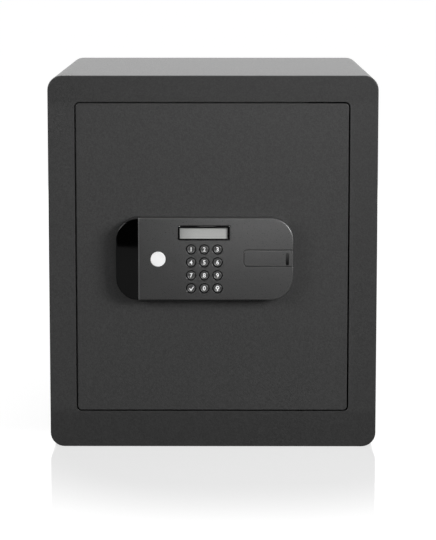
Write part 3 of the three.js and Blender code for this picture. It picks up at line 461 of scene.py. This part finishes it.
# Crest of the display's frame: painted highlight, as tones from its left end (0) to its right end (1);
# roughness, reflection
CREST_PAINTED_HIGHLIGHT = (
    (0.0, 1.0), (0.033, 1.0), (0.042, 0.0), (0.36, 0.0), (0.42, 0.12), (0.66, 0.12), (0.74, 0.0),
    (0.955, 0.0), (0.965, 0.25), (1.0, 0.25),
)
CREST_ROUGH = 0.25
CREST_SPECULAR = 0.2


def crest_painted_highlight(name):
    """The display frame's crest, with painted highlights at its upper left corner, the middle of its top
    and its right side.
    """
    material, tree, shader, place = new_material(name)
    low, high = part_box("display_bezel")
    along = mapped(tree, separated(tree, place)["X"], low.x, high.x)
    feed(tree, shader, {
        "Base Color": ramp(tree, along, [(where, grey(tone)) for where, tone in CREST_PAINTED_HIGHLIGHT]),
        "Roughness": CREST_ROUGH,
        "Specular IOR Level": CREST_SPECULAR,
    })
    return material


# Battery cell: how far from its middle the copper band begins and the bare ends do, colours, and
# size, tones, roughness and depth of its grain
CELL_BAND = 15 * MM
CELL_BARE = 24.2 * MM
CELL_COPPER = (0.55, 0.25, 0.10, 1.0)
CELL_STEEL = 0.55
CELL_GRAIN = 2 * MM
CELL_TONES = (0.9, 1.1)
CELL_ROUGH = (0.3, 0.4)
CELL_DEPTH = 0.03 * MM
CELL_METALLIC = 0.4


def cell_sleeve(name, colour):
    """Plain sleeve of a battery cell with a copper band at one end and bare metal ends."""
    material, tree, shader, place = new_material(name)
    fine = noise(tree, place, CELL_GRAIN, detail=3.0)
    base = speckled(tree, fine, colour, CELL_TONES)
    along = separated(tree, place)["X"]
    banded = between(tree, calc(tree, "GREATER_THAN", along, CELL_BAND), base, CELL_COPPER)
    bare = calc(tree, "GREATER_THAN", calc(tree, "ABSOLUTE", along), CELL_BARE)
    feed(tree, shader, {
        "Base Color": between(tree, bare, banded, grey(CELL_STEEL)),
        "Metallic": CELL_METALLIC,
        "Roughness": spread(tree, fine, *CELL_ROUGH),
    })
    bumped(tree, shader, fine, CELL_DEPTH)
    return material


# Finishes

# The keypad housing's front is slightly domed: place of its top (x, z) and radius along each
HOUSING_CROWN = ((0.008, 0.182), (1.4, 0.7))
PAINT_LEVEL = 0.038
DOOR_LEVEL = 0.0396

MATERIALS = {
    "paint": powder_coat("safe_paint", PAINT_LEVEL),
    # The frame's coat, with painted shade on its rails
    "frame_shaded_paint": powder_coat("frame_shaded_paint", PAINT_LEVEL, tone=rail_painted_shade),
    "door_paint": powder_coat("door_paint", DOOR_LEVEL),
    # Near-black finish on the frame's rounded outer edge: painted shade
    "rim_painted_shade": textured("rim_painted_shade", grey(0.012), 0.6, 1.2, 0.02, specular=0.2),
    "keypad_plastic": textured(
        "keypad_satin", grey(0.017), 0.3, 0.9, 0.1, specular=1.0, vary=0.2, crown=HOUSING_CROWN, coat=1.0,
        swell=0.09,
    ),
    "gloss_black": gloss("end_gloss", grey(0.0004), 0.03, specular=0.4),
    "bezel_gloss": gloss("bezel_gloss", grey(0.0006), 0.1, specular=0.2),
    "bezel_painted_highlight": crest_painted_highlight("bezel_painted_highlight"),
    "silver": textured("seam_silver", grey(0.22), 0.3, 0.4, 0.01, metallic=1.0),
    "white": gloss("badge_white", grey(0.92), 0.25),
    "black_plastic": textured("black_moulding", grey(0.012), 0.35, 0.6, 0.03),
    # The finger slot's finish, with painted shade darkening towards its lower end
    "slot_shade": textured("slot_shade", grey(0.055), 0.45, 0.6, 0.01, specular=0.2, tone=slot_painted_shade),
    "recess_satin": textured("recess_satin", grey(0.03), 0.5, 0.9, 0.04, specular=0.8),
    "key_plastic": textured("key_satin", grey(0.048), 0.3, 0.4, 0.01, specular=0.6),
    # Near-black finish of the key caps' outer edge and sides in the gap round each key: painted shade
    "key_skirt_painted_shade": textured("key_skirt_painted_shade", grey(0.006), 0.4, 0.4, 0.01, specular=0.25),
    "lcd": liquid_crystal("display_grey", (0.393, 0.398, 0.388, 1.0)),
    "steel": brushed("ground_steel", (0.56, 0.57, 0.58, 1.0), 0.3),
    "zinc": plated("zinc_plate", (0.50, 0.50, 0.46, 1.0), 0.42),
    # Near-black zinc that keeps the door gap dark: painted shade
    "zinc_painted_shade": plated("zinc_painted_shade", grey(0.06), 0.5),
    "brass": brushed("machined_brass", (0.62, 0.44, 0.16, 1.0), 0.3),
    "felt": felt("floor_felt", (0.05, 0.052, 0.057, 1.0)),
    "rubber": textured("key_rubber", grey(0.08), 0.7, 0.5, 0.02, specular=0.3),
    "board": textured("board_green", (0.012, 0.09, 0.035, 1.0), 0.4, 1.0, 0.01),
    "cell": cell_sleeve("cell_blue", (0.08, 0.15, 0.25, 1.0)),
    "red_plastic": gloss("button_red", (0.42, 0.022, 0.015, 1.0), 0.2),
}
# Nodes whose finish isn't their slot's plain one
OWN_FINISH = {
    "front_frame": "frame_shaded_paint", "door_plate": "door_paint", "display_bezel": "bezel_gloss",
    # Hinge sockets and arms get a near-black zinc that keeps the door gap dark: painted shade
    "hinge_socket_upper": "zinc_painted_shade", "hinge_socket_lower": "zinc_painted_shade",
    "hinge_arm_upper": "zinc_painted_shade", "hinge_arm_lower": "zinc_painted_shade",
}
FINISH_OF = {node: OWN_FINISH.get(node, slot) for node, slot in SLOT_OF.items()}


def dress_nodes():
    """Gives each node of the CAD its finish."""
    for node, piece in NODES.items():
        piece.data.materials.clear()
        piece.data.materials.append(MATERIALS[FINISH_OF[node]])


# Meshes

# Points this near are one, faces this near to level are one, edges this sharp are creases, and points
# this near to a plane lie in it
WELD = 0.001 * MM
LEVEL = math.radians(0.3)
CREASE = math.radians(40)
IN_PLANE = 0.01 * MM
# Steps of a rounding, and of the frame's rim; the place of a mesh's first and second finish
EDGE_STEPS = 2
RIM_STEPS = 3
FIRST_FINISH = 0
SECOND_FINISH = 1


def finished_mesh(bm, name, *finishes):
    """Ends a bmesh as a mesh with its finishes."""
    mesh = bpy.data.meshes.new(name)
    bm.to_mesh(mesh)
    bm.free()
    for finish in finishes:
        mesh.materials.append(MATERIALS[finish])
    return mesh


def smooth(bm, sharp):
    """Shades the faces smooth, with creases at the edges that are sharper than an angle."""
    for face in bm.faces:
        face.smooth = True
    for edge in bm.edges:
        edge.smooth = edge.calc_face_angle(math.pi) < sharp


def link(name, mesh, node):
    """Puts a mesh into the scene as the piece that replaces a node."""
    piece = bpy.data.objects.new(name, mesh)
    bpy.context.scene.collection.objects.link(piece)
    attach(piece, BODY_OF[node])
    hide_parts(node)
    return piece


def round_edges(bm, edges, radius, finish, steps=EDGE_STEPS):
    """Rounds edges and gives the new faces one of the mesh's finishes."""
    bmesh.ops.bevel(
        bm, geom=edges, offset=radius, segments=steps, profile=0.5, affect="EDGES", material=finish,
    )


def front_edges(bm, inside):
    """The sharp edges in a piece's front plane whose ends all lie inside."""
    front = min(vert.co.y for vert in bm.verts)
    return [
        edge for edge in bm.edges
        if edge.calc_face_angle(0.0) > CREASE
        and all(abs(vert.co.y - front) < IN_PLANE and inside(vert.co) for vert in edge.verts)
    ]


def arc(cx, cz, radius, start, end, steps=20):
    """Points of an arc from one angle to another, in degrees."""
    angles = [math.radians(start + (end - start) * i / steps) for i in range(steps + 1)]
    return [(cx + radius * math.cos(angle), cz + radius * math.sin(angle)) for angle in angles]


def front_centre(node):
    """The middle of a node as seen from the front, as (x, z)."""
    low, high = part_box(node)
    return (low.x + high.x) / 2, (low.z + high.z) / 2


# Refined nodes

# Edge roundings; how far the frame's rim keeps off the door, and how far round the cover its recess lies
RIM_WIDTH = 0.7 * MM
RECESS_EDGE = 0.8 * MM
COVER_EDGE = 0.5 * MM
OPENING_MARGIN = 3 * MM
COVER_MARGIN = 2 * MM


def outside_opening(point):
    in_width = DOOR_LOW.x - OPENING_MARGIN < point.x < DOOR_HIGH.x + OPENING_MARGIN
    in_height = DOOR_LOW.z - OPENING_MARGIN < point.z < DOOR_HIGH.z + OPENING_MARGIN
    return not (in_width and in_height)


def shade_painted_rim(bm):
    """Rounds the frame's outer front edge and gives the rounding a near-black finish: painted shade."""
    round_edges(bm, front_edges(bm, outside_opening), RIM_WIDTH, SECOND_FINISH, steps=RIM_STEPS)


def near_cover(point):
    in_width = COVER_LOW.x - COVER_MARGIN < point.x < COVER_HIGH.x
    return in_width and COVER_LOW.z - COVER_MARGIN < point.z < COVER_HIGH.z + COVER_MARGIN


def soft_recess(bm):
    """Rounds the front edges of the recess that the sliding cover lies in."""
    round_edges(bm, front_edges(bm, near_cover), RECESS_EDGE, SECOND_FINISH)


# The slot's sides, how far round them and inside the cover's edges its points lie, how far behind the
# cover's face its floor's points lie, and how deep the floor is at its upper end
SLOT_X = (COVER_HIGH.x - 7.9 * MM, COVER_HIGH.x - 4.6 * MM)
SLOT_ROUND = 1 * MM
SLOT_INSIDE = 2 * MM
SLOT_FLOOR = (0.5 * MM, 2.5 * MM)
SLOT_TOP = 0.3 * MM


def in_slot(point):
    in_width = SLOT_X[0] - SLOT_ROUND < point.x < SLOT_X[1] + SLOT_ROUND
    return in_width and COVER_LOW.z + SLOT_INSIDE < point.z < COVER_HIGH.z - SLOT_INSIDE


def finger_slot(bm):
    """Rounds the cover's front edge; its slot gets the finish with painted shade, and its floor slopes in
    towards the lower end.
    """
    front = min(vert.co.y for vert in bm.verts)
    slot = {vert for vert in bm.verts if in_slot(vert.co)}
    floor = [vert for vert in slot if front + SLOT_FLOOR[0] < vert.co.y < front + SLOT_FLOOR[1]]
    low, high = min(vert.co.z for vert in floor), max(vert.co.z for vert in floor)
    for vert in floor:
        share = (high - vert.co.z) / (high - low)
        vert.co.y = front + SLOT_TOP + share * (vert.co.y - front - SLOT_TOP)
    for face in bm.faces:
        if slot.issuperset(face.verts):
            face.material_index = SECOND_FINISH
    outline = [edge for edge in front_edges(bm, lambda point: True) if not slot.issuperset(edge.verts)]
    round_edges(bm, outline, COVER_EDGE, FIRST_FINISH)


# How far each node's edges are softened, in millimetres; 0 leaves them
EDGES = {
    "front_frame": 0.25, "body_shell": 0, "back_panel": 0, "door_plate": 0.2, "keypad_housing": 0.14,
    "end_panel": 0, "trim_strip": 0, "key_cover": 0.1, "badge_disc": 0, "display_window": 0,
    "shelf": 0.4, "inner_cover": 0.3, "battery_cover": 0.3, "hinge_arm_upper": 0.4,
    "hinge_arm_lower": 0.4, "bolt_upper": 0, "bolt_lower": 0, "floor_mat": 0.6, "door_jamb": 0.3,
    "door_stop": 0.3,
}
# From which angle on an edge is softened, in degrees
SHARP = 50
SHARP_OF = {"key_cover": 30}
# What is shaped first, with the finish of those faces
SHAPES = {
    "front_frame": (shade_painted_rim, "rim_painted_shade"), "key_cover": (finger_slot, "slot_shade"),
    "keypad_housing": (soft_recess, "recess_satin"),
}


def refine(node, width):
    """The node's form with softened edges and smooth round stretches."""
    sharp = math.radians(SHARP_OF.get(node, SHARP))
    finishes = [FINISH_OF[node]]
    bm = bmesh.new()
    bm.from_mesh(NODES[node].data)
    bmesh.ops.remove_doubles(bm, verts=bm.verts, dist=WELD)
    bmesh.ops.dissolve_limit(bm, angle_limit=LEVEL, verts=bm.verts, edges=bm.edges)
    if node in SHAPES:
        shape, finish = SHAPES[node]
        shape(bm)
        finishes.append(finish)
    smooth(bm, sharp)
    piece = link(node + "_finish", finished_mesh(bm, node + "_finish", *finishes), node)
    if width:
        bevel = piece.modifiers.new("edge", "BEVEL")
        bevel.limit_method = "ANGLE"
        bevel.angle_limit = sharp
        bevel.width = width * MM
        bevel.segments = EDGE_STEPS
        bevel.use_clamp_overlap = False
    piece.modifiers.new("normals", "WEIGHTED_NORMAL").keep_sharp = True


# Display frame

# Its lip as rings from the outside in: millimetres inside the bezel's outline, corner radius, and
# depth behind the bezel's face
LIP_RINGS = (
    (0.0, 1.6, 0.6), (0.0, 1.6, 0.1), (0.15, 1.5, -0.22), (0.45, 1.3, -0.45), (0.85, 1.1, -0.55),
    (1.1, 0.9, -0.45), (1.3, 0.8, -0.2),
)
# Its well round the pane, in millimetres: how far its edge lies outside the pane and the edge's corner
# radius, the radius and depth of its wall, and how far the wall goes behind the pane's face
WELL_OUT = 0.1
WELL_OUT_RADIUS = 0.4
WELL_RADIUS = 0.3
WELL_DEPTH = 0.5
PANE_SEAT = 0.3
# The crest, which carries the painted highlight: which ring it is, and how near to the frame's upper and
# right sides
CREST_RING = 3
CREST_IN = 1.3 * MM


def grown(box, out):
    """A box (x0, z0, x1, z1) made larger on all sides."""
    x0, z0, x1, z1 = box
    return (x0 - out, z0 - out, x1 + out, z1 + out)


def rounded(box, radius, steps=5):
    """Outline of a box (x0, z0, x1, z1) with round corners, anticlockwise from its lower right."""
    x0, z0, x1, z1 = grown(box, -radius)
    corners = ((x1, z0, -90), (x1, z1, 0), (x0, z1, 90), (x0, z0, 180))
    return [point for x, z, start in corners for point in arc(x, z, radius, start, start + 90, steps)]


def bezel_rings():
    """The display frame's section, as boxes, corner radii and places along Y, all round and closed."""
    low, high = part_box("display_bezel")
    pane_low, pane_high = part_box("display_window")
    outer = (low.x, low.z, high.x, high.z)
    pane = (pane_low.x, pane_low.z, pane_high.x, pane_high.z)
    lip = [(grown(outer, -inset * MM), radius, low.y + depth * MM) for inset, radius, depth in LIP_RINGS]
    return lip + [
        (grown(pane, WELL_OUT * MM), WELL_OUT_RADIUS, low.y),
        (pane, WELL_RADIUS, low.y + WELL_DEPTH * MM),
        (pane, WELL_RADIUS, pane_low.y + PANE_SEAT * MM),
        (pane, WELL_RADIUS, high.y),
        (outer, LIP_RINGS[0][1], high.y),
    ]


def build_bezel():
    """A gloss frame round the display: rounded outside, with a lip that slopes in to the pane."""
    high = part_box("display_bezel")[1]
    bm = bmesh.new()
    loops = [
        [bm.verts.new((x, y, z)) for x, z in rounded(box, radius * MM)] for box, radius, y in bezel_rings()
    ]
    for ring, (first, second) in enumerate(zip(loops, loops[1:] + loops[:1])):
        for i in range(len(first)):
            j = (i + 1) % len(first)
            quad = bm.faces.new((first[i], first[j], second[j], second[i]))
            middle = quad.calc_center_median()
            upper_right = middle.x > high.x - CREST_IN or middle.z > high.z - CREST_IN
            # Crest faces near the upper and right sides take the painted highlight
            quad.material_index = int(ring == CREST_RING and upper_right)
    bmesh.ops.recalc_face_normals(bm, faces=bm.faces)
    smooth(bm, CREASE)
    link("display_frame", finished_mesh(bm, "display_frame", "bezel_gloss", "bezel_painted_highlight"), "display_bezel")


# Keys

# Half section of a cap from its middle outwards: radius and depth behind its ridge, in millimetres
CAP_SECTION = (
    (0.0, 0.35), (2.5, 0.35), (2.9, 0.31), (3.2, 0.17), (3.4, 0.05), (3.6, 0.0),
    (3.9, 0.06), (4.2, 0.22), (4.4, 0.42), (4.5, 0.7), (4.85, 0.8), (4.93, 1.1),
)
CAP_DISH = CAP_SECTION[0][1] * MM
CAP_RADIUS = CAP_SECTION[-1][0] * MM
SKIRT_RADIUS = 4.45 * MM
FLANGE_HEIGHT = 1.2 * MM


def lathe(name, centre, profile, finishes, steps=40):
    """A turned mesh about an axis along Y; profile is a list of (y, radius)."""
    bm = bmesh.new()
    turn = [2 * math.pi * i / steps for i in range(steps)]
    rings = []
    for y, radius in profile:
        angles = turn if radius else turn[:1]
        rings.append([
            bm.verts.new((centre[0] + radius * math.cos(angle), y, centre[1] + radius * math.sin(angle)))
            for angle in angles
        ])
    for first, second in zip(rings, rings[1:]):
        for i in range(steps):
            places = ((first, i), (first, i + 1), (second, i + 1), (second, i))
            corners = [ring[k % len(ring)] for ring, k in places]
            bm.faces.new(list(dict.fromkeys(corners)))
    bmesh.ops.recalc_face_normals(bm, faces=bm.faces)
    for face in bm.faces:
        face.smooth = True
    return finished_mesh(bm, name, *finishes)


def build_key(node):
    """A round cap with a soft raised rim round a shallow dish, on the CAD key's flange."""
    low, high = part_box(node)
    centre = front_centre(node)
    shoulder = high.y - FLANGE_HEIGHT
    flange = (high.x - low.x) / 2
    profile = [(low.y + depth * MM, radius * MM) for radius, depth in CAP_SECTION]
    profile += [(shoulder, CAP_RADIUS), (shoulder, flange), (high.y, flange), (high.y, 0.0)]
    mesh = lathe(node + "_cap_form", centre, profile, ("key_plastic", "key_skirt_painted_shade"))
    # The cap's outer edge, side and flange, round the gap, get the near-black finish: painted shade
    for face in mesh.polygons:
        points = [mesh.vertices[i].co for i in face.vertices]
        away = max(math.dist(centre, (point.x, point.z)) for point in points)
        face.material_index = int(away > SKIRT_RADIUS)
    link(node + "_cap_form", mesh, node)


# Printed signs: size of the numbers, half the thickness, boldness, and the ink's grain, tones and roughness
LEGEND_SIZE = 6.4 * MM
LEGEND_HALF = 0.08 * MM
LEGEND_BOLD = 0.12 * MM
INK_GRAIN = 0.8 * MM
INK_TONES = (0.86, 0.96)
INK_ROUGH = 0.5

# Outlines of the two signs that aren't numbers, in millimetres round the cap's centre
CHECK_MARK = ((-2.0, -0.2), (0.0, -2.65), (2.75, 1.6), (2.05, 2.1), (-0.1, -1.2), (-1.3, 0.3))
KEY_BIT = [(-0.65, -2.9), (0.3, -2.9), (0.3, -2.5), (1.0, -2.5), (1.0, -1.7), (0.65, -1.7)]
KEY_BOW = arc(0.0, 0.9, 2.05, -70, 250)
KEY_EYE = arc(0.0, 0.9, 0.95, 0, 342)
SIGNS = {"confirm": (CHECK_MARK,), "lock": (KEY_BOW + KEY_BIT, KEY_EYE)}


def legend_ink():
    material, tree, shader, place = new_material("legend_white")
    dark, light = INK_TONES
    tones = between(tree, noise(tree, place, INK_GRAIN), grey(dark), grey(light))
    feed(tree, shader, {"Base Color": tones, "Roughness": INK_ROUGH})
    return material


def outline_sign(name, outlines):
    """A flat sign from closed outlines."""
    curve = bpy.data.curves.new(name, "CURVE")
    curve.dimensions = "2D"
    curve.fill_mode = "BOTH"
    for outline in outlines:
        spline = curve.splines.new("POLY")
        spline.points.add(len(outline) - 1)
        for point, (x, z) in zip(spline.points, outline):
            point.co = (x * MM, z * MM, 0.0, 1.0)
        spline.use_cyclic_u = True
    return curve


def number_sign(name, number):
    text = bpy.data.curves.new(name, "FONT")
    text.body = number
    text.size = LEGEND_SIZE
    text.offset = LEGEND_BOLD
    text.align_x = "CENTER"
    text.align_y = "CENTER"
    return text


def print_sign(node, ink):
    """The sign on a key's cap, standing on the dish."""
    sign = node.removeprefix("key_")
    name = "legend_" + sign
    curve = outline_sign(name, SIGNS[sign]) if sign in SIGNS else number_sign(name, sign)
    curve.extrude = LEGEND_HALF
    curve.materials.append(ink)
    piece = bpy.data.objects.new(name, curve)
    bpy.context.scene.collection.objects.link(piece)
    x, z = front_centre(node)
    piece.location = (x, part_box(node)[0].y + CAP_DISH - LEGEND_HALF, z)
    piece.rotation_euler = (math.pi / 2, 0.0, 0.0)
    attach(piece, BODY_OF[node])


# Camera, light and floor


def make_camera():
    camera = bpy.data.objects.new("camera", bpy.data.cameras.new("camera"))
    bpy.context.scene.collection.objects.link(camera)
    camera.location = CAMERA_PLACE
    camera.rotation_euler = (math.pi / 2 - CAMERA_PITCH, 0.0, CAMERA_YAW)
    camera.data.lens = CAMERA_LENS
    camera.data.shift_y = CAMERA_SHIFT
    bpy.context.scene.camera = camera


def make_lamps():
    for name, place, aim, width, height, power in LAMPS:
        data = bpy.data.lights.new(name, "AREA")
        data.shape = "RECTANGLE"
        data.size = width
        data.size_y = height
        data.energy = power
        lamp = bpy.data.objects.new(name, data)
        bpy.context.scene.collection.objects.link(lamp)
        lamp.location = place
        lamp.rotation_euler = (Vector(aim) - Vector(place)).to_track_quat("-Z", "Y").to_euler()


def make_world():
    """White for the camera, dim for matt surfaces; mirrors see white above and behind, dark in front."""
    world = bpy.data.worlds.new("studio")
    bpy.context.scene.world = world
    world.use_nodes = True
    tree = world.node_tree
    tree.nodes.clear()
    path = add(tree, "LightPath").outputs
    direction = separated(tree, add(tree, "TexCoord").outputs["Generated"])
    behind = mapped(tree, direction["Y"], *ROOM_BEHIND)
    above = mapped(tree, direction["Z"], *ROOM_ABOVE)
    room = between(tree, calc(tree, "MAXIMUM", behind, above), grey(ROOM_DARK), grey(1.0))
    mirrored, soft, seen = [
        add(tree, "Background", {"Color": colour, "Strength": strength}).outputs[0]
        for colour, strength in ((room, 1.0), (grey(1.0), AMBIENT), (grey(1.0), 1.0))
    ]
    straight = calc(tree, "MAXIMUM", path["Is Glossy Ray"], path["Is Transmission Ray"])
    unseen = mixed(tree, straight, soft, mirrored)
    add(tree, "OutputWorld", {"Surface": mixed(tree, path["Is Camera Ray"], unseen, seen)})


def near_safe(tree, place):
    """1 in an oval round a narrow core under the safe, and from there down to 0 further off."""
    axes = separated(tree, place)
    reach = {}
    for axis, (first, last) in (("X", MIRROR_CORE), ("Y", (FRONT_Y, BACK_Y))):
        away = calc(tree, "SUBTRACT", axes[axis], (first + last) / 2)
        past = calc(tree, "SUBTRACT", calc(tree, "ABSOLUTE", away), (last - first) / 2)
        reach[axis] = calc(tree, "MAXIMUM", past, 0.0)
    flat = add(tree, "CombineXYZ", reach).outputs["Vector"]
    distance = add(tree, "VectorMath", {0: flat}, operation="LENGTH").outputs["Value"]
    return mapped(tree, distance, MIRROR_FULL, MIRROR_END, 1.0, 0.0, smooth=True)


def floor_material():
    """White floor: near the safe it is glossy and mirrors it, further off it is plain white."""
    material, tree, shader, _ = new_material("white_floor")
    place = add(tree, "NewGeometry").outputs["Position"]
    feed(tree, shader, {
        "Base Color": grey(FLOOR_WHITE),
        "Roughness": FLOOR_ROUGH,
        "Emission Color": grey(1.0),
        "Emission Strength": FLOOR_GLOW,
    })
    white = add(tree, "Emission", {"Color": grey(1.0), "Strength": FLOOR_FAR}).outputs[0]
    matt, plain, mirrored = [
        add(tree, "BsdfDiffuse", {"Color": grey(tone)}).outputs[0]
        for tone in (FLOOR_SHADE, FLOOR_BOUNCE, FLOOR_MIRRORED)
    ]
    far = add(tree, "AddShader", {0: white, 1: matt}).outputs[0]
    seen = mixed(tree, near_safe(tree, place), far, shader.outputs[0])
    path = add(tree, "LightPath").outputs
    unseen = mixed(tree, path["Is Glossy Ray"], plain, mirrored)
    surface = mixed(tree, path["Is Camera Ray"], unseen, seen)
    feed(tree, tree.nodes["Material Output"], {"Surface": surface})
    return material


def make_floor():
    bm = bmesh.new()
    bmesh.ops.create_grid(bm, x_segments=1, y_segments=1, size=FLOOR_HALF)
    mesh = finished_mesh(bm, "floor")
    mesh.materials.append(floor_material())
    floor = bpy.data.objects.new("floor", mesh)
    bpy.context.scene.collection.objects.link(floor)
    floor.location = (0.0, FLOOR_HALF - FLOOR_FRONT, -FLOOR_SINK)


# Build

make_camera()
dress_nodes()
for node, width in EDGES.items():
    refine(node, width)
build_bezel()
for node in KEYS:
    build_key(node)
white_ink = legend_ink()
for node in KEYS:
    print_sign(node, white_ink)
make_lamps()
make_world()
make_floor()
bpy.context.scene.view_settings.view_transform = "Standard"
